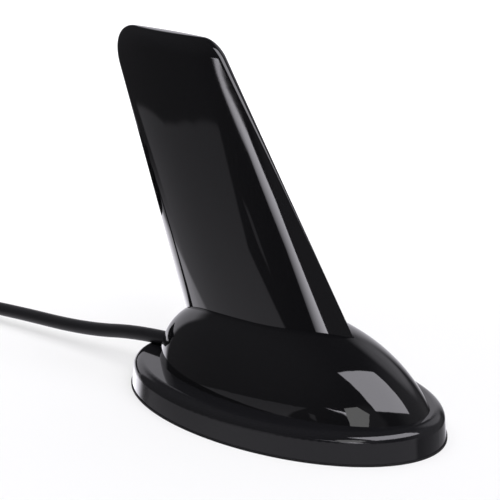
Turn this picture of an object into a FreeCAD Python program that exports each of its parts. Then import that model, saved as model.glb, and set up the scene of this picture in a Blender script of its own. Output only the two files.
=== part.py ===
import FreeCAD, Part
import math
import os
from FreeCAD import Matrix, Vector

# Stick-on dual-band vehicle antenna: swept fin, half-egg housing, oval foot and coaxial lead.
# Millimetres. +X points to the nose, +Z up, and the origin is the middle of the pad's underside.

# Oval foot and its adhesive pad
foot_length = 114.5
foot_width = 67.4
foot_height = 9.6
foot_draft_angle = 6.5
foot_edge_radius = 3.4
foot_wall = 4.5
deck_thickness = 3.0
rib_thickness = 1.6
rib_count = 3
pad_thickness = 0.6
pad_lip = 0.3

# Half-egg housing, part of a full-shouldered egg that leans back and has its middle below the foot's top
dome_length = 99.1
dome_width = 49.5
dome_height = 24.0
dome_forward = 2.5
dome_lean = 0.269
dome_sink = 15.9
dome_fullness = 2.52
dome_profile_points = 12
dome_profile_tolerance = 0.02
dome_wall = 2.2
boss_diameter = 7.0
boss_front = 34.0
boss_back = 29.0
boss_spacing = 29.0

# Fin, a lens-shaped blade given at its root height and swept back to its top
fin_height = 118.5
fin_root_height = 30.0
fin_root_front = 26.1
fin_root_chord = 65.7
fin_root_thickness = 22.6
fin_top_thickness = 11.5
fin_front_sweep = 30.5
fin_back_sweep = 18.2
fin_nose_radius_root = 0.6
fin_nose_radius_top = 2.6
fin_tail_radius_root = 2.0
fin_tail_radius_top = 1.7
fin_crown_place = 0.443
fin_top_tilt = 3.9
fin_wall = 1.8
fin_inner_radius_least = 0.5
fin_cap_height = 5.5
fin_cap_front = 5.0
fin_cap_side = 4.8
fin_corner_height = 14.0
fin_corner_back = 11.0
fin_round_steps = 8
fin_lift = 9.4
fin_slot_clearance = 0.15
fin_flange_width = 4.0
fin_flange_thickness = 1.8
bond_gap = 0.1

# Steel ground plate in the underside of the foot
ground_thickness = 2.0
ground_clearance = 0.25

# Screws
screw_clearance = 0.05
base_screw_diameter = 2.9
base_screw_length = 11.0
base_head_diameter = 5.6
base_head_height = 2.0
base_head_depth = 2.6
base_pillar_diameter = 9.0
small_screw_diameter = 2.5
small_head_diameter = 4.5
small_head_height = 1.6
small_post_diameter = 6.0
passage_clearance = 0.3

# Coaxial lead and its stripped end
cable_diameter = 5.0
braid_diameter = 3.6
dielectric_diameter = 2.95
conductor_diameter = 0.9
cable_rise = 2.9
notch_clearance = 0.2
jacket_inside = 13.5
braid_length = 12.0
dielectric_length = 4.0
conductor_length = 6.0

# Saddle that clamps the braid
clamp_length = 8.0
clamp_edge = 2.5
clamp_sheet = 0.8
clamp_hole_spacing = 14.0
braid_clearance = 0.1

# Feed board and the parts on it
feed_board_length = 40.0
feed_board_width = 20.0
board_thickness = 1.6
board_rise = 0.8
board_lap = 1.0
board_hole_spacing_x = 28.0
board_hole_spacing_y = 13.0
chip_length = 2.0
chip_width = 1.25
chip_height = 0.6
chip_pitch = 4.0
chip_count = 3
chip_side = 6.5
inductor_diameter = 6.0
inductor_wire = 0.8
inductor_turns = 6
inductor_side = 6.0
solder_gap = 0.05

# Upright board in the fin with one copper track for each band
radiator_margin = 4.0
radiator_top_gap = 7.0
radiator_tab_length = 12.0
radiator_foot_length = 26.0
radiator_shoulder_height = 8.0
tab_clearance = 0.1
copper_thickness = 0.1
track_width = 4.0
track_edge = 2.0
track_foot_gap = 3.0
short_track_share = 0.45

# Lead beyond the housing: where it lies, its coil and its plug
cable_route_outside = [
    Vector(-57.0, 0.0, foot_height + cable_rise),
    Vector(-86.0, 0.0, 7.4),
    Vector(-124.0, 0.0, 6.3),
    Vector(-162.0, 0.0, 3.5),
    Vector(-199.0, 0.0, 3.5),
]
arc_share = 0.45
coil_mean_diameter = 50.0
coil_bundle_width = 17.5
coil_bundle_height = 26.7
coil_bundle_bevel = 2.5
coil_leave_overlap = 0.6
coil_lead = 19.0
tie_thickness = 1.0
tie_width = 3.6
tie_count = 2
tie_start_angle = 0.0
tie_spacing = 120.0
tie_clearance = 0.05
plug_lead = 19.0
ferrule_diameter = 6.4
ferrule_length = 11.0
ferrule_grip = 8.0
plug_flange_diameter = 7.0
plug_flange_length = 2.5
plug_sleeve_diameter = 4.6
plug_sleeve_bore = 4.1
plug_sleeve_length = 7.5
plug_pin_diameter = 0.93
plug_pin_reach = 1.8
nut_across_flats = 8.0
nut_length = 8.5
nut_collar_length = 2.5
nut_bore = 6.4
nut_running_gap = 0.2

# Levels and places that follow from the sizes above
foot_bottom = pad_thickness
deck_underside = foot_height - deck_thickness
ground_top = foot_bottom + ground_thickness
dome_back = dome_forward - dome_length / 2
cable_z = foot_height + cable_rise
jacket_end = dome_back + jacket_inside
braid_end = jacket_end + braid_length
dielectric_end = braid_end + dielectric_length
conductor_end = dielectric_end + conductor_length
clamp_middle = (jacket_end + braid_end) / 2
clamp_width = clamp_hole_spacing + 2 * clamp_edge
board_underside = foot_height + board_rise
board_top = board_underside + board_thickness
board_back = dielectric_end + board_lap
board_middle = board_back + feed_board_length / 2
cable_radius = cable_diameter / 2
small_hole_diameter = small_screw_diameter + 2 * screw_clearance
base_hole_diameter = base_screw_diameter + 2 * screw_clearance
above_everything = fin_height + dome_height


def cylinder(diameter, low, high, x=0.0, y=0.0):
    """Upright cylinder between two levels."""
    return Part.makeCylinder(diameter / 2, high - low, Vector(x, y, low))


def rod(diameter, start, end):
    """Round rod between two points."""
    return Part.makeCylinder(diameter / 2, (end - start).Length, start, end - start)


def block(x_low, x_high, width, z_low, z_high, y=0.0):
    """Box that is centred on y across its width."""
    corner = Vector(x_low, y - width / 2, z_low)
    return Part.makeBox(x_high - x_low, width, z_high - z_low, corner)


def oval_wire(length, width, z):
    """Ellipse about the vertical axis of the foot."""
    return Part.Wire(Part.Ellipse(Vector(0, 0, z), length / 2, width / 2).toShape())


def oval_block(length, width, low, high):
    """Upright elliptical block between two levels."""
    return Part.Face(oval_wire(length, width, low)).extrude(Vector(0, 0, high - low))


base_screw_places = [
    (dome_forward + boss_front, 0.0),
    (dome_forward - boss_back, boss_spacing / 2),
    (dome_forward - boss_back, -boss_spacing / 2),
]
board_screw_places = [
    (board_middle - board_hole_spacing_x / 2, -board_hole_spacing_y / 2),
    (board_middle + board_hole_spacing_x / 2, board_hole_spacing_y / 2),
]
clamp_screw_places = [(clamp_middle, side * clamp_hole_spacing / 2) for side in (-1, 1)]


def turned(profile, place, axis):
    """Solid of revolution from radius and distance pairs along an axis."""
    outline = Part.makePolygon([Vector(radius, 0, along) for radius, along in profile + profile[:1]])
    solid = Part.Face(outline).revolve(Vector(0, 0, 0), Vector(0, 0, 1), 360)
    turn = FreeCAD.Rotation(Vector(0, 0, 1), axis)
    solid.Placement = FreeCAD.Placement(place, turn)
    return solid


def screw(place, direction, length, diameter, head_diameter, head_height):
    """Cheese-head screw: place is the middle of its seat and direction points along the shank."""
    profile = [
        (0, -head_height),
        (head_diameter / 2, -head_height),
        (head_diameter / 2, 0),
        (diameter / 2, 0),
        (diameter / 2, length),
        (0, length),
    ]
    return turned(profile, place, direction)


def full_round(share):
    """Reach of the egg's outline beside its axis for a share of its rise; a circle has a fullness of 2."""
    return (1 - share ** dome_fullness) ** (1 / dome_fullness)


def egg(inset):
    """The leaning egg above the foot's top, made smaller all round by inset."""
    rise = dome_height + dome_sink
    spread = full_round(dome_sink / rise)
    half_length = dome_length / 2 / spread - inset
    half_width = dome_width / 2 / spread - inset
    half_height = rise - inset
    last_angle = math.acos(dome_sink / half_height)
    points = []
    for index in range(dome_profile_points):
        level = math.cos(last_angle * index / (dome_profile_points - 1))
        points.append(Vector(half_height * full_round(level), 0, half_height * level))
    outline = Part.BSplineCurve()
    outline.approximate(Points=points, Tolerance=dome_profile_tolerance)
    foot = Vector(0, 0, dome_sink)
    edges = [outline.toShape(), Part.makeLine(points[-1], foot), Part.makeLine(foot, points[0])]
    bell = Part.Face(Part.Wire(edges)).revolve(Vector(0, 0, 0), Vector(0, 0, 1), 360)
    stretch = Matrix()
    stretch.A11 = half_length / half_height
    stretch.A22 = half_width / half_height
    stretch.A13 = -dome_lean
    stretch.A14 = dome_forward + dome_lean * dome_sink
    stretch.A34 = foot_height - dome_sink
    return bell.transformGeometry(stretch)


def fin_front(z):
    """Where the blade's front edge is at a level."""
    return fin_root_front - math.tan(math.radians(fin_front_sweep)) * (z - fin_root_height)


def fin_back(z):
    """Where the blade's back edge is at a level."""
    root_back = fin_root_front - fin_root_chord
    return root_back - math.tan(math.radians(fin_back_sweep)) * (z - fin_root_height)


def between(root_value, top_value, z):
    """Value that changes evenly from the blade's root height to its top."""
    share = (z - fin_root_height) / (fin_height - fin_root_height)
    return root_value + (top_value - root_value) * share


def lens_half(crown, end, half, radius):
    """Points of one quarter of the lens: crown, middle of its arc and where the end's arc starts."""
    way = math.copysign(1.0, end - crown)
    reach = abs(end - crown) - radius
    arc_radius = (reach ** 2 + half ** 2 - radius ** 2) / (2 * (half - radius))
    turn = math.asin(reach / (arc_radius - radius))
    points = []
    for angle in (0.0, turn / 2, turn):
        x = crown + way * arc_radius * math.sin(angle)
        points.append(Vector(x, half - arc_radius * (1 - math.cos(angle)), 0))
    return points


def fin_section(z, grow=0.0, tilt=0.0, front_cut=0.0, back_cut=0.0, side_cut=0.0):
    """Closed lens outline of the blade at a level, grown or shrunk by the same amount all round."""
    half_chord = (fin_front(z) - fin_back(z)) / 2
    drop = math.tan(math.radians(tilt)) * half_chord
    front = fin_front(z - drop)
    back = fin_back(z + drop)
    crown = front - fin_crown_place * (front - back)
    full_half = between(fin_root_thickness, fin_top_thickness, z) / 2 + grow
    half = full_half - side_cut
    slim = half / full_half
    nose = slim * max(between(fin_nose_radius_root, fin_nose_radius_top, z) + grow, fin_inner_radius_least)
    tail = slim * max(between(fin_tail_radius_root, fin_tail_radius_top, z) + grow, fin_inner_radius_least)
    nose_tip = front + grow - front_cut
    tail_tip = back - grow + back_cut
    fore = lens_half(crown, nose_tip, half, nose)
    aft = lens_half(crown, tail_tip, half, tail)
    fore_low = [Vector(p.x, -p.y, 0) for p in fore]
    aft_low = [Vector(p.x, -p.y, 0) for p in aft]
    arcs = [
        Part.Arc(fore_low[2], Vector(nose_tip, 0, 0), fore[2]),
        Part.Arc(fore[2], fore[1], fore[0]),
        Part.Arc(aft[0], aft[1], aft[2]),
        Part.Arc(aft[2], Vector(tail_tip, 0, 0), aft_low[2]),
        Part.Arc(aft_low[2], aft_low[1], aft_low[0]),
        Part.Arc(fore_low[0], fore_low[1], fore_low[2]),
    ]
    wire = Part.Wire([arc.toShape() for arc in arcs])
    wire.translate(Vector(0, 0, z))
    wire.rotate(Vector((front + back) / 2, 0, z), Vector(0, 1, 0), tilt)
    return wire


def blade(low, high, grow, tilt=0.0):
    """Straight length of the blade between two levels."""
    return Part.makeLoft([fin_section(low, grow), fin_section(high, grow, tilt)], True, True)


fin_bottom = foot_height + fin_lift
fin_shoulder = fin_height - fin_cap_height
fin_corner_low = fin_height - fin_corner_height


def quarter_round(z, height):
    """Share of its inset that a quarter round below the blade's top has at a level."""
    rise = max(0.0, 1 - (fin_height - z) / height)
    return 1 - math.sqrt(1 - rise ** 2)


def make_fin_shell():
    """Hollow blade with a rounded top and a curved flange that seats under the housing's roof."""
    rounds = []
    for step in range(fin_round_steps + 1):
        level = fin_corner_low + fin_corner_height * math.sin(math.pi / 2 * step / fin_round_steps)
        cap = quarter_round(level, fin_cap_height)
        corner = quarter_round(level, fin_corner_height)
        cuts = (fin_cap_front * cap, fin_corner_back * corner, fin_cap_side * cap)
        rounds.append(fin_section(level, 0.0, fin_top_tilt, *cuts))
    top = Part.makeLoft(rounds, True, False)
    outside = blade(fin_bottom, fin_corner_low, 0.0, fin_top_tilt).fuse(top)
    seat = dome_wall + bond_gap
    ring = egg(seat).cut(egg(seat + fin_flange_thickness))
    flange = ring.common(blade(fin_bottom, fin_corner_low, fin_flange_width, fin_top_tilt))
    for x, y in base_screw_places:
        relief = boss_diameter + 2 * passage_clearance
        flange = flange.cut(cylinder(relief, foot_height, above_everything, x, y))
    corner_cut = fin_corner_back * quarter_round(fin_shoulder, fin_corner_height)
    hollow = Part.makeLoft([
        fin_section(fin_bottom, -fin_wall),
        fin_section(fin_corner_low, -fin_wall, fin_top_tilt),
        fin_section(fin_shoulder, -fin_wall, fin_top_tilt, 0.0, corner_cut),
    ], True, True)
    return outside.fuse(flange).cut(egg(seat + fin_flange_thickness)).cut(hollow).removeSplitter()


def make_dome_shell():
    """Half-egg housing with screw bosses, a slot for the blade and an arch for the lead."""
    shell = egg(0.0).cut(egg(dome_wall))
    roof = egg(dome_wall / 2)
    for x, y in base_screw_places:
        shell = shell.fuse(cylinder(boss_diameter, foot_height, above_everything, x, y).common(roof))
    pilot_top = foot_bottom + base_head_depth + base_screw_length + screw_clearance
    for x, y in base_screw_places:
        shell = shell.cut(cylinder(base_hole_diameter, foot_height, pilot_top, x, y))
    slot = blade(fin_bottom - fin_slot_clearance, fin_corner_low, fin_slot_clearance, fin_top_tilt)
    arch_width = cable_diameter + 2 * notch_clearance
    arch_back = dome_back - arch_width
    arch = rod(arch_width, Vector(arch_back, 0, cable_z), Vector(jacket_end, 0, cable_z))
    legs = block(arch_back, jacket_end, arch_width, foot_height, cable_z)
    return shell.cut(slot).cut(arch).cut(legs).removeSplitter()


def make_base_plate():
    """Moulded foot: sloping wall, rounded edge, ribbed underside, posts and a cradle for the lead."""
    draft = math.tan(math.radians(foot_draft_angle)) * (foot_height - foot_bottom)
    low = oval_wire(foot_length, foot_width, foot_bottom)
    high = oval_wire(foot_length - 2 * draft, foot_width - 2 * draft, foot_height)
    body = Part.makeLoft([low, high], True, True)
    rim = [edge for edge in body.Edges if edge.BoundBox.ZMin > foot_height - screw_clearance]
    body = body.makeFillet(foot_edge_radius, rim)
    pocket_length = foot_length - 2 * foot_wall
    pocket_width = foot_width - 2 * foot_wall
    pocket = oval_block(pocket_length, pocket_width, foot_bottom, deck_underside)
    ribs = [block(-foot_length, foot_length, rib_thickness, ground_top, foot_height)]
    for index in range(rib_count):
        x = pocket_length * ((index + 1) / (rib_count + 1) - 0.5)
        ribs.append(block(x - rib_thickness / 2, x + rib_thickness / 2, foot_width, ground_top, foot_height))
    body = body.cut(pocket)
    for rib in ribs:
        body = body.fuse(rib.common(pocket))
    for x, y in base_screw_places:
        body = body.fuse(cylinder(base_pillar_diameter, foot_bottom, foot_height, x, y))
    for x, y in board_screw_places:
        body = body.fuse(cylinder(small_post_diameter, foot_height, board_underside, x, y))
    clamp_back = clamp_middle - clamp_length / 2
    clamp_front = clamp_middle + clamp_length / 2
    body = body.fuse(block(clamp_back, clamp_front, clamp_width, foot_height, cable_z))
    groove = braid_diameter + 2 * braid_clearance
    body = body.cut(rod(groove, Vector(clamp_back, 0, cable_z), Vector(clamp_front, 0, cable_z)))
    for x, y in base_screw_places:
        head_room = base_head_diameter + 2 * passage_clearance
        shank_room = base_screw_diameter + 2 * passage_clearance
        body = body.cut(cylinder(head_room, foot_bottom, foot_bottom + base_head_depth, x, y))
        body = body.cut(cylinder(shank_room, foot_bottom, foot_height, x, y))
    for x, y in board_screw_places + clamp_screw_places:
        shank_room = small_screw_diameter + 2 * passage_clearance
        body = body.cut(cylinder(shank_room, ground_top, above_everything, x, y))
    return body.removeSplitter()


def make_adhesive_pad():
    """Foam pad, a little larger than the foot."""
    return oval_block(foot_length + 2 * pad_lip, foot_width + 2 * pad_lip, 0.0, pad_thickness)


def make_ground_plate():
    """Steel plate that lies flush in the foot's underside and takes the small screws."""
    length = foot_length - 2 * foot_wall - 2 * ground_clearance
    width = foot_width - 2 * foot_wall - 2 * ground_clearance
    plate = oval_block(length, width, foot_bottom, ground_top)
    for x, y in base_screw_places:
        plate = plate.cut(cylinder(base_pillar_diameter + 2 * ground_clearance, 0, foot_height, x, y))
    for x, y in board_screw_places + clamp_screw_places:
        plate = plate.cut(cylinder(small_hole_diameter, 0, foot_height, x, y))
    return plate


def make_base_screws():
    """Three screws that come up through the foot into the housing's bosses."""
    seat = foot_bottom + base_head_depth
    sizes = (base_screw_length, base_screw_diameter, base_head_diameter, base_head_height)
    return [screw(Vector(x, y, seat), Vector(0, 0, 1), *sizes) for x, y in base_screw_places]


def small_screws(places, seat):
    """Screws that go down through the foot and end flush in the ground plate."""
    length = seat - foot_bottom
    sizes = (length, small_screw_diameter, small_head_diameter, small_head_height)
    return [screw(Vector(x, y, seat), Vector(0, 0, -1), *sizes) for x, y in places]


def make_cable_clamp():
    """Bent saddle over the braid with a flat foot on each side."""
    back = clamp_middle - clamp_length / 2
    front = clamp_middle + clamp_length / 2
    inside = braid_diameter + 2 * braid_clearance
    outside = inside + 2 * clamp_sheet
    start = Vector(back, 0, cable_z)
    end = Vector(front, 0, cable_z)
    feet = block(back, front, clamp_width, cable_z, cable_z + clamp_sheet)
    saddle = feet.fuse(rod(outside, start, end)).cut(rod(inside, start, end))
    saddle = saddle.cut(block(back, front, clamp_width, foot_height, cable_z))
    for x, y in clamp_screw_places:
        saddle = saddle.cut(cylinder(small_hole_diameter, foot_height, above_everything, x, y))
    return saddle.removeSplitter()


def coax_core(diameter, start, end):
    """One layer of the lead's stripped end."""
    return rod(diameter, Vector(start, 0, cable_z), Vector(end, 0, cable_z))


def make_feed_board():
    """Flat board with a slot for the upright board and two screw holes."""
    board = block(board_back, board_back + feed_board_length, feed_board_width, board_underside, board_top)
    tab_room = radiator_tab_length / 2 + tab_clearance
    width = board_thickness + 2 * tab_clearance
    slot = block(board_middle - tab_room, board_middle + tab_room, width, board_underside, board_top)
    board = board.cut(slot)
    for x, y in board_screw_places:
        board = board.cut(cylinder(small_hole_diameter, foot_height, above_everything, x, y))
    return board


def make_chip_parts():
    """Row of small capacitors beside the upright board."""
    first = board_middle - chip_pitch * (chip_count - 1) / 2
    chips = []
    for index in range(chip_count):
        x = first + chip_pitch * index
        chips.append(block(x - chip_length / 2, x + chip_length / 2, chip_width, board_top,
                           board_top + chip_height, chip_side))
    return chips


def make_matching_coil():
    """Close-wound air coil, a tube as thick as its wire, lying on the board."""
    length = inductor_turns * inductor_wire
    level = board_top + inductor_diameter / 2 + solder_gap
    start = Vector(board_middle - length / 2, -inductor_side, level)
    end = start + Vector(length, 0, 0)
    return rod(inductor_diameter, start, end).cut(rod(inductor_diameter - 2 * inductor_wire, start, end))


radiator_base = board_top
radiator_shoulder = board_top + radiator_shoulder_height
radiator_top = fin_height - radiator_top_gap


def radiator_outline(margin):
    """Outline of the upright board in the fin's middle plane, inside the blade's wall by margin."""
    inset = fin_wall + margin
    half_foot = radiator_foot_length / 2
    return [
        Vector(board_middle - half_foot, 0, radiator_base),
        Vector(board_middle + half_foot, 0, radiator_base),
        Vector(board_middle + half_foot, 0, radiator_shoulder),
        Vector(fin_front(fin_root_height) - inset, 0, fin_root_height),
        Vector(fin_front(radiator_top) - inset, 0, radiator_top),
        Vector(fin_back(radiator_top) + inset, 0, radiator_top),
        Vector(fin_back(fin_root_height) + inset, 0, fin_root_height),
        Vector(board_middle - half_foot, 0, radiator_shoulder),
    ]


def upright(points, y_low, y_high):
    """Flat piece in the fin's middle plane between two sideways places."""
    face = Part.Face(Part.makePolygon(points + points[:1]))
    solid = face.extrude(Vector(0, y_high - y_low, 0))
    solid.translate(Vector(0, y_low, 0))
    return solid


def make_radiator_board():
    """Upright board whose tab stands in the feed board."""
    board = upright(radiator_outline(radiator_margin), -board_thickness / 2, board_thickness / 2)
    half_tab = radiator_tab_length / 2
    tab = block(board_middle - half_tab, board_middle + half_tab, board_thickness, board_underside, board_top)
    return board.fuse(tab).removeSplitter()


def track(points):
    """Copper track on the near face of the upright board."""
    return upright(points, -board_thickness / 2 - copper_thickness, -board_thickness / 2)


def make_long_element():
    """Track that climbs the front edge and turns back along the top for the lower band."""
    inset = fin_wall + radiator_margin + track_edge
    foot = radiator_base + track_foot_gap
    top = radiator_top - track_edge
    front_foot = board_middle + radiator_foot_length / 2 - track_edge
    low_front = fin_front(fin_root_height) - inset
    return track([
        Vector(front_foot, 0, foot),
        Vector(front_foot, 0, radiator_shoulder),
        Vector(low_front, 0, fin_root_height),
        Vector(fin_front(top) - inset, 0, top),
        Vector(fin_back(top) + inset, 0, top),
        Vector(fin_back(top - track_width) + inset, 0, top - track_width),
        Vector(fin_front(top - track_width) - inset - track_width, 0, top - track_width),
        Vector(low_front - track_width, 0, fin_root_height),
        Vector(front_foot - track_width, 0, radiator_shoulder),
        Vector(front_foot - track_width, 0, foot),
    ])


def make_short_element():
    """Track that climbs the back edge for the upper band."""
    inset = fin_wall + radiator_margin + track_edge
    foot = radiator_base + track_foot_gap
    back_foot = board_middle - radiator_foot_length / 2 + track_edge
    top = fin_root_height + short_track_share * (radiator_top - fin_root_height)
    low_back = fin_back(fin_root_height) + inset
    return track([
        Vector(back_foot, 0, foot),
        Vector(back_foot, 0, radiator_shoulder),
        Vector(low_back, 0, fin_root_height),
        Vector(fin_back(top) + inset, 0, top),
        Vector(fin_back(top) + inset + track_width, 0, top),
        Vector(low_back + track_width, 0, fin_root_height),
        Vector(back_foot + track_width, 0, radiator_shoulder),
        Vector(back_foot + track_width, 0, foot),
    ])


cable_route = [Vector(jacket_end, 0, cable_z)] + cable_route_outside


def make_coax_cable():
    """Round tube along straight runs that are joined by arcs as large as the runs allow."""
    edges = []
    radii = []
    here = cable_route[0]
    for before, corner, after in zip(cable_route, cable_route[1:], cable_route[2:]):
        way_in = (corner - before).normalize()
        way_out = (after - corner).normalize()
        turn = way_in.getAngle(way_out)
        cut = arc_share * min((corner - before).Length, (after - corner).Length)
        radius = cut / math.tan(turn / 2)
        start = corner - way_in * cut
        end = corner + way_out * cut
        inward = (way_out - way_in).normalize()
        middle = corner + inward * (radius / math.cos(turn / 2) - radius)
        edges.append(Part.LineSegment(here, start).toShape())
        edges.append(Part.Arc(start, middle, end).toShape())
        radii.append(round(radius, 1))
        here = end
    edges.append(Part.LineSegment(here, cable_route[-1]).toShape())
    path = Part.Wire(edges)
    ring = Part.Wire(Part.makeCircle(cable_radius, cable_route[0], cable_route[1] - cable_route[0]))
    tube = path.makePipeShell([ring], True, False)
    swept = math.pi * cable_radius ** 2 * path.Length
    print("lead arc radii", radii, "volume over section times length", round(tube.Volume / swept, 4))
    return tube


coil_end = cable_route[-1]
coil_outside = (coil_mean_diameter + coil_bundle_width) / 2
coil_middle = Vector(coil_end.x - coil_lead, coil_end.y + coil_outside - cable_radius, 0)
coil_bottom = tie_thickness
plug_x = coil_middle.x - coil_outside - cable_radius + coil_leave_overlap
plug_z = nut_across_flats / 2
cord_end = Vector(plug_x, coil_middle.y + plug_lead, plug_z)


def bundle_face(grow):
    """Section of the wound bundle with its corners taken off, beside the coil's axis."""
    half_width = coil_bundle_width / 2 + grow
    half_height = coil_bundle_height / 2 + grow
    bevel = coil_bundle_bevel + grow * (2 - math.sqrt(2))
    middle = coil_middle + Vector(coil_mean_diameter / 2, 0, coil_bottom + coil_bundle_height / 2)
    points = []
    for i, j in ((1, 1), (-1, 1), (-1, -1), (1, -1)):
        beside = Vector(i * half_width, 0, j * (half_height - bevel))
        above = Vector(i * (half_width - bevel), 0, j * half_height)
        points += [beside, above] if i == j else [above, beside]
    return Part.Face(Part.makePolygon([middle + point for point in points + points[:1]]))


def make_coax_coil():
    """Outer shape of the wound lead: one end comes in at its rim and the other lies against it."""
    ring = bundle_face(0.0).revolve(coil_middle, Vector(0, 0, 1), 360)
    entry = rod(cable_diameter, coil_end, Vector(coil_middle.x, coil_end.y, coil_end.z))
    leave = rod(cable_diameter, Vector(plug_x, coil_middle.y, plug_z), cord_end)
    return ring.fuse(entry).fuse(leave)


def make_coil_ties():
    """Bands round the wound bundle."""
    band = bundle_face(tie_thickness).cut(bundle_face(tie_clearance))
    sweep = math.degrees(tie_width / (coil_mean_diameter / 2))
    ties = []
    for index in range(tie_count):
        face = band.copy()
        face.rotate(coil_middle, Vector(0, 0, 1), tie_start_angle + tie_spacing * index)
        ties.append(face.revolve(coil_middle, Vector(0, 0, 1), sweep))
    return ties


plug_way = Vector(0, 1, 0)
ferrule_start = cord_end - plug_way * ferrule_grip
body_start = ferrule_start + plug_way * ferrule_length


def make_plug_ferrule():
    """Crimped sleeve over the lead's jacket."""
    wall_inside = cable_radius + screw_clearance
    outside = ferrule_diameter / 2
    profile = [(wall_inside, 0), (outside, 0), (outside, ferrule_length), (wall_inside, ferrule_length)]
    return turned(profile, ferrule_start, plug_way)


def make_plug_body():
    """Body with a barrel for the lead, a flange behind the nut and a thin sleeve inside it."""
    bore = plug_sleeve_bore / 2
    front = plug_flange_length + plug_sleeve_length
    profile = [
        (0, ferrule_grip - ferrule_length),
        (cable_radius, ferrule_grip - ferrule_length),
        (cable_radius, 0),
        (plug_flange_diameter / 2, 0),
        (plug_flange_diameter / 2, plug_flange_length),
        (plug_sleeve_diameter / 2, plug_flange_length),
        (plug_sleeve_diameter / 2, front),
        (bore, front),
        (bore, plug_flange_length),
        (0, plug_flange_length),
    ]
    return turned(profile, body_start, plug_way)


def make_coupling_nut():
    """Hexagonal nut that lies on one flat, with a narrow collar round the sleeve."""
    start = body_start + plug_way * (plug_flange_length + nut_running_gap)
    across_corners = nut_across_flats / math.cos(math.pi / 6)
    points = []
    for index in range(7):
        angle = math.pi / 3 * index
        points.append(start + Vector(math.cos(angle), 0, math.sin(angle)) * (across_corners / 2))
    hexagon = Part.Face(Part.makePolygon(points)).extrude(plug_way * nut_length)
    collar = rod(plug_sleeve_diameter + 2 * nut_running_gap, start, start + plug_way * nut_length)
    thread = rod(nut_bore, start + plug_way * nut_collar_length, start + plug_way * nut_length)
    return hexagon.cut(collar).cut(thread)


insulator_start = body_start + plug_way * plug_flange_length


def make_plug_insulator():
    """White insulator in the sleeve."""
    outside = plug_sleeve_bore / 2 - screw_clearance
    hole = plug_pin_diameter / 2 + screw_clearance
    profile = [(hole, 0), (outside, 0), (outside, plug_sleeve_length), (hole, plug_sleeve_length)]
    return turned(profile, insulator_start, plug_way)


def make_plug_pin():
    """Centre pin that stands out of the insulator."""
    length = plug_sleeve_length + plug_pin_reach
    return rod(plug_pin_diameter, insulator_start, insulator_start + plug_way * length)


pieces = {
    "fin_shell": make_fin_shell(),
    "dome_shell": make_dome_shell(),
    "base_plate": make_base_plate(),
    "adhesive_pad": make_adhesive_pad(),
    "ground_plate": make_ground_plate(),
    "base_screws": make_base_screws(),
    "board_screws": small_screws(board_screw_places, board_top),
    "clamp_screws": small_screws(clamp_screw_places, cable_z + clamp_sheet),
    "cable_clamp": make_cable_clamp(),
    "feed_board": make_feed_board(),
    "chip_parts": make_chip_parts(),
    "matching_coil": make_matching_coil(),
    "radiator_board": make_radiator_board(),
    "long_element": make_long_element(),
    "short_element": make_short_element(),
    "coax_braid": coax_core(braid_diameter, jacket_end, braid_end),
    "coax_dielectric": coax_core(dielectric_diameter, braid_end, dielectric_end),
    "coax_conductor": coax_core(conductor_diameter, dielectric_end, conductor_end),
    "coax_cable": make_coax_cable(),
    "coax_coil": make_coax_coil(),
    "coil_ties": make_coil_ties(),
    "plug_ferrule": make_plug_ferrule(),
    "plug_body": make_plug_body(),
    "coupling_nut": make_coupling_nut(),
    "plug_insulator": make_plug_insulator(),
    "plug_pin": make_plug_pin(),
}

os.makedirs("parts", exist_ok=True)
for name, piece in pieces.items():
    shape = Part.makeCompound(piece) if isinstance(piece, list) else piece
    shape.exportStep("parts/" + name + ".step")
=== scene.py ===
import bpy
import math
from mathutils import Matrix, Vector


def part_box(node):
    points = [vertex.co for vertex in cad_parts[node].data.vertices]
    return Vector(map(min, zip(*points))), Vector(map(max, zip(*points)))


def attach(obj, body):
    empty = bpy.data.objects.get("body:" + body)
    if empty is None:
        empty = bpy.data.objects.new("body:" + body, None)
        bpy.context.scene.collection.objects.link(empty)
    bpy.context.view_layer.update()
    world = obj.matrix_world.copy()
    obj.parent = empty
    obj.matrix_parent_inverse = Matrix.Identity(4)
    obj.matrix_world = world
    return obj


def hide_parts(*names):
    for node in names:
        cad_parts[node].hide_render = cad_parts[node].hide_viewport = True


# Stick-on dual-band vehicle antenna: polished black fin and housing on an oval foot, with its coaxial lead.
# Metres, in the frame of the solids: +X to the nose, +Z up, origin under the middle of the foot.

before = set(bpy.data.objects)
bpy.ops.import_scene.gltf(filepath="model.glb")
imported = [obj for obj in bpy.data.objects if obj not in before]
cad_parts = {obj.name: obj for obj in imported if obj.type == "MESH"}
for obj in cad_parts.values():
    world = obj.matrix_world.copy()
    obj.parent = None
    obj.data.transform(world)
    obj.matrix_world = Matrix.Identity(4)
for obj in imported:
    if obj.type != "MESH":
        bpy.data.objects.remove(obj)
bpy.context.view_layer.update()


# Adhesive pad: black closed-cell foam tape, die-cut to an oval a little larger than the foot.
# It sticks the antenna to the roof, and only its thin cut edge shows.


class Value:
    """A socket of a node tree that takes part in Python arithmetic."""

    def __init__(self, tree, socket):
        self.tree = tree
        self.socket = socket

    def math(self, operation, *others):
        """Math node on this value and the others."""
        values = dict(enumerate((self,) + others))
        return self.tree.node("ShaderNodeMath", {"operation": operation}, values)

    def __add__(self, other):
        return self.math("ADD", other)

    def __radd__(self, other):
        return self.math("ADD", other)

    def __mul__(self, other):
        return self.math("MULTIPLY", other)

    def __rmul__(self, other):
        return self.math("MULTIPLY", other)

    def __sub__(self, other):
        return self.math("SUBTRACT", other)

    def __rsub__(self, other):
        return (self * -1.0) + other

    def __truediv__(self, other):
        return self.math("DIVIDE", other)

    def between(self, low, high, interpolation="SMOOTHSTEP"):
        """Step from 0 at low to 1 at high, smooth unless it is asked for as LINEAR."""
        settings = {"interpolation_type": interpolation}
        values = {"Value": self, "From Min": low, "From Max": high}
        return self.tree.node("ShaderNodeMapRange", settings, values)


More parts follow.
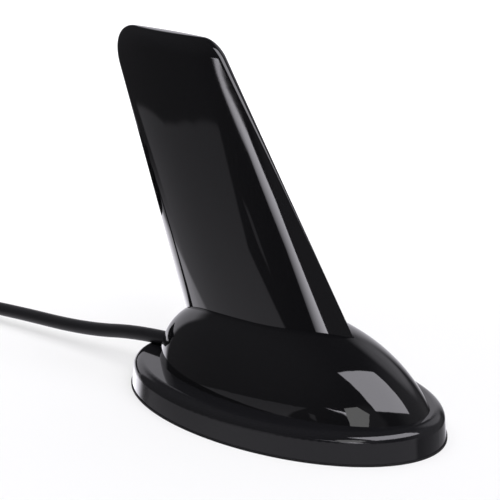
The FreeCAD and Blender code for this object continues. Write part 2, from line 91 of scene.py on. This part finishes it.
class Tree:
    """A node tree whose nodes are made by one method."""

    def __init__(self, node_tree):
        self.node_tree = node_tree

    def node(self, kind, settings=None, inputs=None, output=0):
        """New node: its settings first, then its sockets by name or number, given as values or links."""
        made = self.node_tree.nodes.new(kind)
        for name, setting in (settings or {}).items():
            setattr(made, name, setting)
        for key, given in (inputs or {}).items():
            socket = self.pick(made.inputs, key)
            if isinstance(given, Value):
                self.node_tree.links.new(given.socket, socket)
            else:
                socket.default_value = given
        return None if output is None else Value(self, self.pick(made.outputs, output))

    def pick(self, sockets, key):
        """Socket by its number, its identifier or its name."""
        known = {socket.identifier: socket for socket in sockets}
        return known.get(key) or sockets[key]

    def mix(self, factor, first, second):
        """Colour between two colours."""
        settings = {"data_type": "RGBA"}
        inputs = {"Factor_Float": factor, "A_Color": first, "B_Color": second}
        return self.node("ShaderNodeMix", settings, inputs, "Result_Color")


class Finish(Tree):
    """A surface finish: one principled shader with patterns on the piece's own coordinates."""

    def __init__(self, name, constants):
        self.material = bpy.data.materials.new(name)
        self.material.use_nodes = True
        super().__init__(self.material.node_tree)
        self.shader = self.node_tree.nodes["Principled BSDF"]
        for socket, constant in constants.items():
            self.shader.inputs[socket].default_value = constant
        self.place = self.node("ShaderNodeTexCoord", output="Object")

    def noise(self, scale, detail=2.0):
        """Noise with features of about one over scale metres."""
        inputs = {"Vector": self.place, "Scale": scale, "Detail": detail}
        return self.node("ShaderNodeTexNoise", {}, inputs, "Fac")

    def feed(self, **sockets):
        """Links values that change over the surface to the shader."""
        for name, value in sockets.items():
            socket = self.shader.inputs[name.replace("_", " ")]
            self.node_tree.links.new(value.socket, socket)

    def bump(self, height, strength, distance):
        """Small relief from a height value."""
        inputs = {"Height": height, "Strength": strength, "Distance": distance}
        self.feed(Normal=self.node("ShaderNodeBump", {}, inputs))

    def wear(self, *nodes):
        """Puts the finish on nodes of the frame, through their objects."""
        for name in nodes:
            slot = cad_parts[name].material_slots[0]
            slot.link = "OBJECT"
            slot.material = self.material


foam = Finish("die_cut_foam", {"Specular IOR Level": 0.3})
foam_cells = foam.node("ShaderNodeTexVoronoi", {}, {"Vector": foam.place, "Scale": 2600.0}, "Distance")
foam_shade = foam.mix(foam_cells, (0.004, 0.004, 0.004, 1), (0.016, 0.016, 0.017, 1))
foam.feed(Base_Color=foam_shade, Roughness=0.6 + 0.25 * foam_cells)
foam.bump(foam_cells, 0.4, 0.0002)
foam.wear("adhesive_pad")


# Foot: one injection moulding in black, satin on its sloping wall and polished on its top and edge.
# The wall's satin comes from the tool, and the polish starts where the edge is rounded.

foot_moulding = Finish("foot_moulding", {"IOR": 1.5})
foot_turn = foot_moulding.node("ShaderNodeTexCoord", output="Normal")
foot_upward = foot_moulding.node("ShaderNodeSeparateXYZ", {}, {"Vector": foot_turn}, "Z")
foot_polish = foot_upward.between(0.2, 0.6)
foot_grain = foot_moulding.noise(2500.0)
foot_moulding.feed(
    Base_Color=foot_moulding.mix(foot_grain, (0.005, 0.005, 0.006, 1), (0.009, 0.009, 0.010, 1)),
    Roughness=0.13 - 0.08 * foot_polish + 0.03 * foot_grain,
)
foot_moulding.wear("base_plate")


# Ground plate: zinc-plated steel sheet that lies in the foot and joins the lead's braid to the roof.
# It is stamped flat, with holes for the screws and threads for the board and the clamp.

zinc = Finish("zinc_plate", {"Metallic": 1.0})
zinc_clouds = zinc.noise(300.0)
zinc.feed(
    Base_Color=zinc.mix(zinc_clouds, (0.50, 0.50, 0.48, 1), (0.68, 0.68, 0.66, 1)),
    Roughness=0.3 + 0.15 * zinc_clouds,
)
zinc.wear("ground_plate")


# Boards: green glass-fibre laminate, one flat on the ground plate and one upright in the fin.
# The weave of the glass shows faintly through the lacquer.

board_lacquer = Finish("board_lacquer", {"Roughness": 0.45})
board_threads = board_lacquer.node(
    "ShaderNodeTexVoronoi",
    {"distance": "CHEBYCHEV"},
    {"Vector": board_lacquer.place, "Scale": 1500.0, "Randomness": 0.2},
    "Distance",
)
board_lacquer.feed(
    Base_Color=board_lacquer.mix(board_threads, (0.035, 0.14, 0.06, 1), (0.02, 0.09, 0.04, 1)),
)
board_lacquer.wear("feed_board", "radiator_board")


# Radiators: two etched copper tracks on the upright board, a long one and a short one for the two bands.
# They are bare metal with a little stain.

copper = Finish("bare_copper", {"Metallic": 1.0})
copper_stain = copper.noise(400.0)
copper.feed(
    Base_Color=copper.mix(copper_stain, (0.66, 0.33, 0.19, 1), (0.78, 0.43, 0.26, 1)),
    Roughness=0.28 + 0.2 * copper_stain,
)
copper.wear("long_element", "short_element")


# Chip parts: small ceramic blocks soldered in a row on the flat board.
# Their bodies are tan with a fine speckle.

ceramic = Finish("chip_ceramic", {"Roughness": 0.5})
ceramic_speck = ceramic.noise(2000.0)
ceramic.feed(Base_Color=ceramic.mix(ceramic_speck, (0.38, 0.27, 0.18, 1), (0.50, 0.38, 0.26, 1)))
ceramic.wear("chip_parts")


# Matching coil: bare copper wire wound close in one layer, lying on the flat board without a core.
# The wire is a helix along X that fills the coil's own box.


class Shape(Tree):
    """A geometry node group with named sizes, which grows into one plain mesh."""

    def __init__(self, name, sizes):
        self.name = name
        self.group = bpy.data.node_groups.new(name, "GeometryNodeTree")
        self.group.interface.new_socket("Geometry", in_out="OUTPUT", socket_type="NodeSocketGeometry")
        self.values = {}
        for size, value in sizes.items():
            socket = self.group.interface.new_socket(size, in_out="INPUT", socket_type="NodeSocketFloat")
            self.values[socket.identifier] = value
        super().__init__(self.group)
        self.given = self.group.nodes.new("NodeGroupInput")

    def size(self, name):
        """One of the named sizes."""
        return Value(self, self.given.outputs[name])

    def grow(self, geometry, material):
        """Ends the group, runs it with its sizes and returns an object that holds the plain mesh."""
        geometry = self.node("GeometryNodeRealizeInstances", {}, {0: geometry})
        geometry = self.node("GeometryNodeSetShadeSmooth", {}, {0: geometry})
        geometry = self.node("GeometryNodeSetMaterial", {}, {"Geometry": geometry, "Material": material})
        self.node("NodeGroupOutput", {}, {"Geometry": geometry}, None)
        piece = bpy.data.objects.new(self.name, bpy.data.meshes.new(self.name))
        bpy.context.scene.collection.objects.link(piece)
        modifier = piece.modifiers.new(self.name, "NODES")
        modifier.node_group = self.group
        for identifier, value in self.values.items():
            modifier[identifier] = value
        grown = piece.evaluated_get(bpy.context.evaluated_depsgraph_get())
        mesh = bpy.data.meshes.new_from_object(grown)
        piece.modifiers.clear()
        piece.data = mesh
        return piece


coil_low, coil_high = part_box("matching_coil")
winding_turns = 5.0
winding = Shape("coil_winding", {
    "Length": coil_high[0] - coil_low[0],
    "Diameter": coil_high[2] - coil_low[2],
    "Turns": winding_turns,
    "Start": coil_low[0],
    "Side": (coil_low[1] + coil_high[1]) / 2,
    "Level": (coil_low[2] + coil_high[2]) / 2,
})
wire_share = 0.96
wire_steps = 32
wire_sides = 12
wire = winding.size("Length") / (winding.size("Turns") + 1.0)
wire_middle = (winding.size("Diameter") - wire) / 2.0
wire_path = winding.node("GeometryNodeCurveSpiral", {}, {
    "Resolution": wire_steps,
    "Rotations": winding.size("Turns"),
    "Start Radius": wire_middle,
    "End Radius": wire_middle,
    "Height": winding.size("Length") - wire,
})
wire_round = winding.node("GeometryNodeCurvePrimitiveCircle", {}, {
    "Resolution": wire_sides,
    "Radius": wire * (wire_share / 2),
})
wire_skin = winding.node("GeometryNodeCurveToMesh", {}, {
    "Curve": wire_path,
    "Profile Curve": wire_round,
    "Fill Caps": True,
})
wire_start = winding.node("ShaderNodeCombineXYZ", {}, {
    "X": winding.size("Start") + wire / 2.0,
    "Y": winding.size("Side"),
    "Z": winding.size("Level"),
})
wire_laid = winding.node("GeometryNodeTransform", {}, {
    "Geometry": wire_skin,
    "Translation": wire_start,
    "Rotation": (0.0, math.pi / 2, 0.0),
})
coil_wire = winding.grow(wire_laid, copper.material)
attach(coil_wire, "root")
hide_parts("matching_coil")


# Stripped end of the lead: tinned braid, white insulation and a bare copper conductor, cut back in steps.
# The braid is woven from fine wires and the conductor is soldered to the board.

tinned_braid = Finish("tinned_braid", {"Metallic": 1.0})
braid_weave = tinned_braid.node(
    "ShaderNodeTexVoronoi",
    {"distance": "MANHATTAN"},
    {"Vector": tinned_braid.place, "Scale": 2400.0, "Randomness": 0.1},
    "Distance",
)
tinned_braid.feed(
    Base_Color=tinned_braid.mix(braid_weave, (0.74, 0.73, 0.71, 1), (0.42, 0.41, 0.40, 1)),
    Roughness=0.25 + 0.2 * braid_weave,
)
tinned_braid.bump(braid_weave, 0.5, 0.0002)
tinned_braid.wear("coax_braid")

white_core = Finish("white_insulation", {"Roughness": 0.5})
white_cloud = white_core.noise(500.0)
white_core.feed(Base_Color=white_core.mix(white_cloud, (0.80, 0.80, 0.76, 1), (0.88, 0.88, 0.85, 1)))
white_core.wear("coax_dielectric")
copper.wear("coax_conductor")


# Cable clamp: a bent strip of bright metal over the braid, held to the ground plate by two screws.
# It takes the pull of the lead and earths the braid.

clamp_metal = Finish("clamp_strip", {"Metallic": 1.0})
clamp_rolling = clamp_metal.noise(700.0, 4.0)
clamp_metal.feed(
    Base_Color=clamp_metal.mix(clamp_rolling, (0.55, 0.54, 0.51, 1), (0.70, 0.69, 0.66, 1)),
    Roughness=0.22 + 0.15 * clamp_rolling,
)
clamp_metal.wear("cable_clamp")


# Screws: small pan heads of plated steel, two for the board, two for the clamp and three for the housing.
# The plating is a little clouded.

screw_plating = Finish("screw_plating", {"Metallic": 1.0})
screw_clouds = screw_plating.noise(900.0)
screw_plating.feed(
    Base_Color=screw_plating.mix(screw_clouds, (0.52, 0.52, 0.50, 1), (0.66, 0.66, 0.65, 1)),
    Roughness=0.24 + 0.14 * screw_clouds,
)
screw_plating.wear("board_screws", "clamp_screws", "base_screws")


# Housing: a half-egg moulding in gloss black, with a close slot for the fin in its roof.
# Three screws hold it to the foot from below, and an arch in its back edge lets the lead out.

gloss = Finish("polished_moulding", {"IOR": 1.5})
gloss_wave = gloss.noise(45.0, 1.0)
gloss_dust = gloss.noise(900.0)
gloss.feed(
    Base_Color=gloss.mix(gloss_dust, (0.0030, 0.0030, 0.0034, 1), (0.0042, 0.0042, 0.0048, 1)),
    Roughness=0.025 + 0.02 * gloss_dust,
)
gloss.bump(gloss_wave, 0.02, 0.001)
gloss.wear("dome_shell")


# Fin: a hollow lens-shaped blade, moulded in the same gloss black, swept back and rounded over at its top.
# It comes up through the slot in the roof and is bonded there by the flange round its root.

millimetre = 0.001
blade = Shape("fin_blade", {
    "Height": 118.5,
    "Bottom": 19.0,
    "Root height": 30.0,
    "Root front": 26.1,
    "Root chord": 65.7,
    "Root thickness": 22.6,
    "Top thickness": 11.5,
    "Front sweep": math.radians(30.5),
    "Back sweep": math.radians(18.2),
    "Root nose radius": 0.4,
    "Top nose radius": 2.2,
    "Nose growth": 2.0,
    "Root tail radius": 2.0,
    "Top tail radius": 1.7,
    "Crown place": 0.443,
    "Top tilt": math.radians(3.9),
    "Cap height": 5.5,
    "Cap front": 5.0,
    "Cap side": 4.8,
    "Corner height": 14.0,
    "Corner back": 11.0,
})
blade_columns = 241
blade_rows = 181
closed_below = 0.02
straight_part = 0.6
rounded_part = 0.98
arc_part = 0.7
weld_distance = 0.0000001

# Across the grid the section runs once round: crown, nose, crown, tail and back to the crown
blade_grid = blade.node("GeometryNodeMeshGrid", {}, {
    "Size X": 1.0,
    "Size Y": 1.0,
    "Vertices X": blade_columns,
    "Vertices Y": blade_rows,
})
blade_place = blade.node("GeometryNodeInputPosition")
blade_round = 2.0 + 4.0 * blade.node("ShaderNodeSeparateXYZ", {}, {0: blade_place}, "X")
blade_up = 0.5 + blade.node("ShaderNodeSeparateXYZ", {}, {0: blade_place}, "Y")

# Up the grid the blade starts closed, climbs straight, rounds over and ends closed
climb = blade_up.between(closed_below, straight_part, "LINEAR")
bend = blade_up.between(straight_part, rounded_part, "LINEAR") * (math.pi / 2)
corner_low = blade.size("Height") - blade.size("Corner height")
blade_z = blade.size("Bottom") + (corner_low - blade.size("Bottom")) * climb
blade_z = blade_z + blade.size("Corner height") * bend.math("SINE")
tilt = blade.size("Top tilt") * climb


def quarter_round(height):
    """Share of its inset that a quarter round below the blade's top has at the blade's level."""
    rise = (1.0 - (blade.size("Height") - blade_z) / height).math("MAXIMUM", 0.0)
    return 1.0 - (1.0 - rise * rise).math("MAXIMUM", 0.0).math("SQRT")


def blade_front(level):
    """Where the blade's front edge is at a level."""
    slope = blade.size("Front sweep").math("TANGENT")
    return blade.size("Root front") - slope * (level - blade.size("Root height"))


def blade_back(level):
    """Where the blade's back edge is at a level."""
    slope = blade.size("Back sweep").math("TANGENT")
    return blade.size("Root front") - blade.size("Root chord") - slope * (level - blade.size("Root height"))


root_height = blade.size("Root height")
height_share = (blade_z - root_height) / (blade.size("Height") - root_height)


def tapered(what, share=height_share):
    """Size that changes from the blade's root to its top, evenly unless another share is given."""
    root_size = blade.size("Root " + what)
    return root_size + (blade.size("Top " + what) - root_size) * share


# Size of the section at each level, and where its nose and tail are
cap = quarter_round(blade.size("Cap height"))
corner = quarter_round(blade.size("Corner height"))
drop = tilt.math("TANGENT") * (blade_front(blade_z) - blade_back(blade_z)) / 2.0
front = blade_front(blade_z - drop)
back = blade_back(blade_z + drop)
middle = (front + back) / 2.0
crown = front - blade.size("Crown place") * (front - back)
full_half = tapered("thickness") / 2.0
half = full_half - blade.size("Cap side") * cap
slim = half / full_half

is_tail = blade_round.math("GREATER_THAN", 2.0)
way = 1.0 - 2.0 * is_tail
side = 1.0 - 2.0 * (blade_round - 2.0).math("ABSOLUTE").math("GREATER_THAN", 1.0)
nose_tip = front - blade.size("Cap front") * cap
tail_tip = back + blade.size("Corner back") * corner
tip = nose_tip + (tail_tip - nose_tip) * is_tail
nose_share = height_share.math("MAXIMUM", 0.0).math("POWER", blade.size("Nose growth"))
nose_radius = tapered("nose radius", nose_share)
tip_radius = slim * (nose_radius + (tapered("tail radius") - nose_radius) * is_tail)
reach = (tip - crown) * way - tip_radius
arc = (reach * reach + half * half - tip_radius * tip_radius) / (2.0 * (half - tip_radius))
arc_end = (reach / (arc - tip_radius)).math("ARCSINE")

# Each quarter of the section is a long arc from the crown and a small round at the tip
from_crown = 1.0 - (blade_round.math("MODULO", 2.0) - 1.0).math("ABSOLUTE")
on_arc = from_crown.between(0.0, arc_part, "LINEAR")
on_tip = from_crown.between(arc_part, 1.0, "LINEAR")
is_tip = from_crown.math("GREATER_THAN", arc_part)
facing = arc_end * on_arc + (math.pi / 2 - arc_end) * on_tip
arc_x = crown + way * arc * facing.math("SINE")
arc_y = half - arc * (1.0 - facing.math("COSINE"))
tip_x = tip - way * tip_radius * (1.0 - facing.math("SINE"))
tip_y = tip_radius * facing.math("COSINE")
ahead = arc_x + (tip_x - arc_x) * is_tip - middle
closing = blade_up.between(0.0, closed_below, "LINEAR") * blade_up.between(1.0, rounded_part, "LINEAR")
beside = side * closing * (arc_y + (tip_y - arc_y) * is_tip)

blade_point = blade.node("ShaderNodeCombineXYZ", {}, {
    "X": middle + ahead * tilt.math("COSINE"),
    "Y": beside,
    "Z": blade_z - ahead * tilt.math("SINE"),
})
blade_metres = blade.node(
    "ShaderNodeVectorMath",
    {"operation": "SCALE"},
    {"Vector": blade_point, "Scale": millimetre},
)
blade_skin = blade.node("GeometryNodeSetPosition", {}, {"Geometry": blade_grid, "Position": blade_metres})
blade_welded = blade.node("GeometryNodeMergeByDistance", {}, {
    "Geometry": blade_skin,
    "Distance": weld_distance,
})
fin = blade.grow(blade_welded, gloss.material)
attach(fin, "root")
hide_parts("fin_shell")


# Coaxial lead: 5 mm cable in a matt black jacket, about 3 m long, wound up and tied beyond the antenna.
# It comes out of an arch in the back of the housing, droops to the roof and ends in a small screw-on plug.

cable_diameter = 5.0
cable_route = [
    (-33.55, 0.0, 12.5),
    (-57.0, 0.0, 12.5),
    (-86.0, 0.0, 7.0),
    (-124.0, 0.0, 6.0),
    (-162.0, 0.0, 3.5),
    (-199.0, 0.0, 3.5),
]
coil_radius = 25.0
coil_columns = 3
coil_rows = 6
coil_row_rise = cable_diameter * math.sin(math.pi / 3)
coil_outer = coil_radius + (coil_columns - 0.5) * cable_diameter / 2
coil_lead = 19.0
coil_x = cable_route[-1][0] - coil_lead
coil_y = coil_outer
coil_z = cable_route[-1][2]
plug_overlap = 0.6
plug_lead = 19.0
plug_x = coil_x - coil_outer - cable_diameter + plug_overlap
plug_y = coil_y + plug_lead
plug_z = 4.0
crossing_start = 0.8
points_per_turn = 16
spline_swell = 1 / math.cos(math.pi / points_per_turn)


def ease(low, high, share):
    """Value that goes smoothly from low to high."""
    share = min(max(share, 0.0), 1.0)
    return low + (high - low) * share * share * (3 - 2 * share)


def on_coil(radius, share, height):
    """Point of the wound lead, a share of a turn on from where the lead comes in."""
    angle = -math.pi / 2 - 2 * math.pi * share
    spread = radius * spline_swell
    return (coil_x + spread * math.cos(angle), coil_y + spread * math.sin(angle), height)


# Radius and height of each turn, row by row, and of the last quarter turn outside the bundle
turns = []
for row in range(coil_rows):
    shift = cable_diameter / 2 * (row % 2)
    radii = [coil_outer - shift - column * cable_diameter for column in range(coil_columns)]
    for radius in reversed(radii) if row % 2 else radii:
        turns.append((radius, coil_z + row * coil_row_rise))
outside_radius = coil_outer + cable_diameter
turns.append((outside_radius, turns[-1][1]))

lead_points = list(cable_route)
for step in range((len(turns) - 1) * points_per_turn):
    lap = step // points_per_turn
    share = step / points_per_turn - lap
    crossing = (share - crossing_start) / (1 - crossing_start)
    radius = ease(turns[lap][0], turns[lap + 1][0], crossing)
    height = ease(turns[lap][1], turns[lap + 1][1], crossing)
    lead_points.append(on_coil(radius, share, height))
quarter = points_per_turn // 4
for step in range(quarter + 1):
    height = ease(turns[-1][1], plug_z, step / quarter)
    lead_points.append(on_coil(outside_radius, step / points_per_turn, height))
lead_points.append((plug_x, (coil_y + plug_y) / 2, plug_z))
lead_points.append((plug_x, plug_y, plug_z))

lead_curve = bpy.data.curves.new("coaxial_lead", "CURVE")
lead_curve.dimensions = "3D"
lead_curve.bevel_depth = cable_diameter / 2 * millimetre
lead_curve.bevel_resolution = 6
lead_curve.use_fill_caps = True
lead_spline = lead_curve.splines.new("NURBS")
lead_spline.points.add(len(lead_points) - 1)
for point, place in zip(lead_spline.points, lead_points):
    point.co = [*(millimetre * number for number in place), 1.0]
lead_spline.order_u = 3
lead_spline.use_endpoint_u = True
lead_spline.resolution_u = 10
lead = bpy.data.objects.new("coaxial_lead", lead_curve)
bpy.context.scene.collection.objects.link(lead)

jacket = Finish("matt_jacket", {"Specular IOR Level": 0.4})
jacket_grain = jacket.noise(1800.0)
jacket.feed(
    Base_Color=jacket.mix(jacket_grain, (0.005, 0.005, 0.006, 1), (0.010, 0.010, 0.011, 1)),
    Roughness=0.42 + 0.12 * jacket_grain,
)
jacket.bump(jacket_grain, 0.15, 0.0002)
lead_curve.materials.append(jacket.material)

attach(lead, "root")
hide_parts("coax_cable", "coax_coil")


# Ties: two black nylon bands round the wound-up lead, pulled tight across the bundle.
# The nylon is faintly mottled.

tie_nylon = Finish("tie_nylon", {"Roughness": 0.4})
tie_mottle = tie_nylon.noise(600.0)
tie_nylon.feed(Base_Color=tie_nylon.mix(tie_mottle, (0.010, 0.010, 0.011, 1), (0.020, 0.020, 0.022, 1)))
tie_nylon.wear("coil_ties")


# Plug: small screw-on connector of nickel-plated brass, with a white insulator and a gold-flashed pin.
# The ferrule is crimped on the jacket, and the hexagonal nut turns freely on the sleeve.

nickel = Finish("nickel_plate", {"Metallic": 1.0})
nickel_haze = nickel.noise(700.0)
nickel.feed(
    Base_Color=nickel.mix(nickel_haze, (0.60, 0.58, 0.53, 1), (0.72, 0.70, 0.65, 1)),
    Roughness=0.15 + 0.12 * nickel_haze,
)
nickel.wear("plug_ferrule", "plug_body", "coupling_nut")

gold = Finish("gold_flash", {"Metallic": 1.0})
gold_haze = gold.noise(900.0)
gold.feed(
    Base_Color=gold.mix(gold_haze, (0.80, 0.56, 0.22, 1), (0.90, 0.68, 0.34, 1)),
    Roughness=0.18 + 0.1 * gold_haze,
)
gold.wear("plug_pin")
white_core.wear("plug_insulator")


# Table: a white top that glows a little to the eye, so that it looks white and still takes shadows.
# The polished pieces don't mirror it, because the room below has its own table for them.

floor_reach = 3.0
floor_mesh = bpy.data.meshes.new("table_top")
floor_corners = [
    (-floor_reach, -floor_reach, 0),
    (floor_reach, -floor_reach, 0),
    (floor_reach, floor_reach, 0),
    (-floor_reach, floor_reach, 0),
]
floor_mesh.from_pydata(floor_corners, [], [(0, 1, 2, 3)])
floor = bpy.data.objects.new("table_top", floor_mesh)
floor.visible_glossy = False
bpy.context.scene.collection.objects.link(floor)

table_near_glow = 0.60
table_added_glow = 0.40
table_white = bpy.data.materials.new("table_white")
table_white.use_nodes = True
table_white.node_tree.nodes.clear()
table_tree = Tree(table_white.node_tree)
table_seen = table_tree.node("ShaderNodeLightPath", output="Is Camera Ray")
table_place = table_tree.node("ShaderNodeTexCoord", output="Object")
table_away = table_tree.node("ShaderNodeVectorMath", {"operation": "LENGTH"}, {0: table_place}, "Value")
table_strength = (table_near_glow + table_added_glow * table_away.between(0.08, 0.40)) * table_seen
table_glow = table_tree.node("ShaderNodeEmission", {}, {"Strength": table_strength})
table_paint = table_tree.node("ShaderNodeBsdfDiffuse", {}, {"Color": (0.3, 0.3, 0.3, 1)})
table_both = table_tree.node("ShaderNodeAddShader", {}, {0: table_glow, 1: table_paint})
table_tree.node("ShaderNodeOutputMaterial", {}, {"Surface": table_both}, None)
floor_mesh.materials.append(table_white)


# Lamp: one large soft square almost straight overhead, which makes the soft shadows on the table.
# The polished pieces don't mirror it.


def bearing(azimuth, elevation):
    """Direction from the antenna, with azimuth 0 along -Y and 90 along +X, in degrees."""
    turn = math.radians(azimuth)
    lift = math.radians(elevation)
    return Vector((math.sin(turn) * math.cos(lift), -math.cos(turn) * math.cos(lift), math.sin(lift)))


lamp_way = bearing(-100.0, 80.0)
lamp_distance = 0.9
lamp_size = 1.0
lamp_radiance = 2.0
lamp_data = bpy.data.lights.new("overhead_lamp", "AREA")
lamp_data.size = lamp_size
lamp_data.energy = lamp_radiance * math.pi * lamp_size ** 2
lamp = bpy.data.objects.new("overhead_lamp", lamp_data)
lamp.location = lamp_way * lamp_distance
lamp.rotation_mode = "QUATERNION"
lamp.rotation_quaternion = lamp_way.to_track_quat("Z", "Y")
lamp.visible_glossy = False
bpy.context.scene.collection.objects.link(lamp)


# Bounce card: a small bright card near the nose, whose mirror image is the lower patch on the housing.
# Only reflections see it, and it has five corners because the patch does.

card_strength = 2.3
card_middle = Vector((73.7, -81.9, 40.4))
card_right = Vector((-0.877, -0.480, 0.0))
card_up = card_right.cross(bearing(28.7, 20.5))
card_corners = [(14.5, 6.0), (-3.5, 15.0), (-19.0, 10.0), (-12.5, -12.0), (12.0, -18.0)]
card_places = [card_middle + card_right * right + card_up * rise for right, rise in card_corners]
card_mesh = bpy.data.meshes.new("bounce_card")
card_mesh.from_pydata([place * millimetre for place in card_places], [], [(0, 1, 2, 3, 4)])
card = bpy.data.objects.new("bounce_card", card_mesh)
card.visible_camera = False
card.visible_diffuse = False
card.visible_shadow = False
bpy.context.scene.collection.objects.link(card)

card_glow = bpy.data.materials.new("card_glow")
card_glow.use_nodes = True
card_glow.node_tree.nodes.clear()
card_tree = Tree(card_glow.node_tree)
card_light = card_tree.node("ShaderNodeEmission", {}, {"Strength": card_strength})
card_tree.node("ShaderNodeOutputMaterial", {}, {"Surface": card_light}, None)
card_mesh.materials.append(card_glow)


# Room: what the polished pieces mirror, dim with a pale backdrop, a soft box, a bright strip and a grey wall.
# Each is a soft-edged region of bearings, placed so that its mirror image lies where the photograph has it.
# The camera sees plain white behind the table instead.

world = bpy.data.worlds.new("studio")
bpy.context.scene.world = world
world.use_nodes = True
room = Tree(world.node_tree)
room_way = room.node("ShaderNodeTexCoord", output="Generated")


def along(way):
    """Cosine of the angle between a fixed direction and the one that is looked in."""
    inputs = {0: room_way, 1: way}
    return room.node("ShaderNodeVectorMath", {"operation": "DOT_PRODUCT"}, inputs, "Value")


def left_of(first, second):
    """Distance from the great circle through two bearings, positive on its left when elevation is up."""
    return along(bearing(*first).cross(bearing(*second)).normalized())


def panel(corners, blur):
    """Soft-edged panel between bearings that are given anticlockwise."""
    inside = 1.0
    for first, second in zip(corners, corners[1:] + corners[:1]):
        inside = left_of(first, second).between(-blur, blur) * inside
    return inside


upward = along(bearing(0.0, 90.0))

# Soft box, mirrored in the housing's nose, and a faint upright light low in front
soft_box_level = 5.3
soft_box = panel([(49.5, 31.3), (107.5, 28.0), (121.0, 61.5), (27.9, 61.8)], 0.006)
upright_level = 0.3
upright = panel([(-1.0, 4.0), (2.2, 4.0), (1.2, 6.8), (-1.6, 6.2)], 0.008)

# Pale backdrop behind the tail, brightest low down
backdrop_level = 0.9
backdrop_rise = 1.8
backdrop_edge = left_of((-94.0, -22.0), (-84.0, -12.0))
backdrop_edge = backdrop_edge.math("MINIMUM", left_of((-93.0, -10.0), (-93.0, 20.0)))
backdrop = backdrop_edge.between(-0.03, 0.10) * along(bearing(-130.0, 0.0)).between(0.58, 0.82)
backdrop = backdrop * (1.0 - upward.between(0.4, 0.6))
backdrop_glow = backdrop_level + backdrop_rise * along(bearing(-108.0, -22.0)).between(0.95, 1.0)

# Dim walls and ceiling
room_dim = 0.05
side_wall_level = 0.2
side_wall = along(bearing(128.0, 15.0)).between(0.6, 0.95)
rear_wall_level = 0.7
rear_wall = along(bearing(168.0, 32.0)).between(0.92, 0.99)
corner_fill_level = 0.12
corner_fill = along(bearing(43.0, 21.0)).between(0.965, 0.99)
ceiling_level = 0.09
ceiling = along(bearing(-50.0, 25.0)).between(0.3, 1.0)

# Bright strip, mirrored along the fin's nose, which fades from its outer edge to its inner one
strip_level = 9.3
strip_fall = 8.4
strip_outer = left_of((33.2, 15.6), (30.0, 19.2)).math("MINIMUM", left_of((29.4, 19.6), (24.2, 20.4)))
strip_outer = strip_outer.math("MINIMUM", left_of((24.2, 20.4), (15.3, 18.5)))
strip_inner = left_of((23.7, 14.9), (24.05, 11.0)).math("MAXIMUM", left_of((19.0, 17.3), (23.7, 14.9)))
strip_inner = strip_inner.math("MAXIMUM", left_of((11.3, 16.9), (19.0, 17.4)))
strip_inside = strip_outer.between(-0.002, 0.002) * strip_inner.between(-0.004, 0.008)
strip_share = (strip_outer / (strip_outer + strip_inner).math("MAXIMUM", 0.001)).between(0.0, 1.0, "LINEAR")
strip = strip_inside * upward.between(0.09, 0.14) * (strip_level - strip_fall * strip_share)

# Grey wall, mirrored in the fin's side, a little brighter away from its upper edge
wall_level = 0.27
wall_rise = 0.24
wall_edge = left_of((-5.1, 8.85), (-28.0, -1.5)).math("MAXIMUM", left_of((-28.0, -1.5), (-46.0, -8.5)))
wall_edge = wall_edge.math("MAXIMUM", left_of((-46.0, -8.5), (-57.0, -11.75)))
wall_edge = wall_edge.math("MAXIMUM", left_of((-57.0, -11.75), (-66.0, -13.4)))
wall_right = left_of((-12.0, -1.5), (-2.9, 9.0)).math("MAXIMUM", left_of((0.0, -0.9), (-12.0, -1.4)))
wall_left = left_of((-84.0, 0.0), (-84.0, -40.0))
wall = wall_edge.between(0.0, 0.007) * wall_right.between(-0.008, 0.008) * wall_left.between(-0.02, 0.02)
wall_glow = wall_level + wall_rise * wall_edge.between(0.0, 0.25)

# Table as the polished pieces mirror it, brighter on the left
table_left_level = 0.9
table_left = left_of((-72.0, -24.8), (-100.0, -20.5)).between(0.0, 0.015)
table_left = table_left * along(bearing(-97.0, -28.0)).between(0.80, 1.0)
table_level = 0.6
table = (1.0 - wall) * (1.0 - upward.between(-0.42, -0.30))

room_level = room_dim + ceiling_level * ceiling + backdrop * backdrop_glow
room_level = room_level + side_wall_level * side_wall + rear_wall_level * rear_wall
room_level = room_level + soft_box_level * soft_box + strip + upright_level * upright
room_level = room_level + corner_fill_level * corner_fill + wall * wall_glow
room_level = room_level + table_left_level * table_left + table_level * table
room_seen = room.node("ShaderNodeLightPath", output="Is Camera Ray")
room_strength = room_level.math("MAXIMUM", room_seen)
room_tint = room.mix(room_seen, (0.95, 0.93, 1.0, 1), (1, 1, 1, 1))
background = world.node_tree.nodes["Background"]
world.node_tree.links.new(room_strength.socket, background.inputs["Strength"])
world.node_tree.links.new(room_tint.socket, background.inputs["Color"])


# Camera: where the photograph was taken from, fitted to the outlines of the fin, housing, foot and lead.
# It looks down on the antenna's side from a little towards the nose.

camera_distance = 0.372
camera_target = Vector((-0.012483, 0.0, 0.050848))
camera_back = bearing(35.0, 17.524)
camera_data = bpy.data.cameras.new("photo_camera")
camera_data.lens = 83.43
camera_data.sensor_width = 36.0
camera = bpy.data.objects.new("photo_camera", camera_data)
camera.location = camera_target + camera_back * camera_distance
camera.rotation_mode = "QUATERNION"
camera.rotation_quaternion = (-camera_back).to_track_quat("-Z", "Y")
bpy.context.scene.collection.objects.link(camera)
bpy.context.scene.camera = camera
bpy.context.scene.view_settings.view_transform = "Standard"
